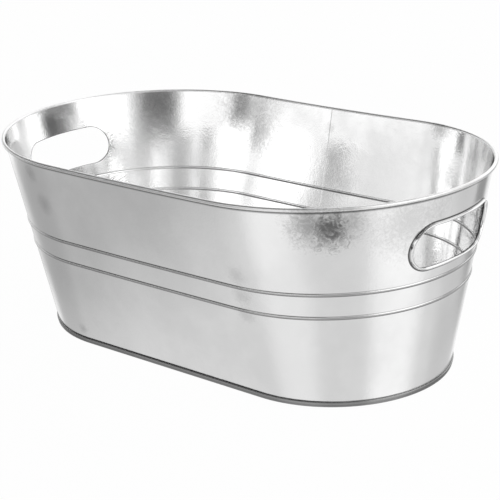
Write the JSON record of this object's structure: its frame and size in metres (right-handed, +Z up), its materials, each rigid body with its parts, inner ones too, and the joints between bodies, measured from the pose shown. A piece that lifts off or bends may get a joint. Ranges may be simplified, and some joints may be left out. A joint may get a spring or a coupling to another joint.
{
  "type": "oval metal tub",
  "caption": "Flared oval tub of thin galvanised sheet steel with a wired rolled rim, raised ribs, a double-seamed base and slotted hand holes in its ends.",
  "frame": {"origin": "on the floor under the middle of the base", "axes": "+X along the tub towards one hand hole, +Y across it, +Z up"},
  "size_m": [0.45, 0.277, 0.1732],
  "materials": {
    "galvanised_sheet": "bright galvanised sheet, satin, with cloudy zinc patches",
    "rim_wire_steel": "plain drawn wire, hidden in the rim",
    "sealing_compound": "dried sealing compound, hidden in the base seam"
  },
  "bodies": {
    "root": {"wall_sheet": "galvanised_sheet", "bottom_panel": "galvanised_sheet", "rim_wire": "rim_wire_steel", "seam_sealant": "sealing_compound"}
  },
  "joints": []
}
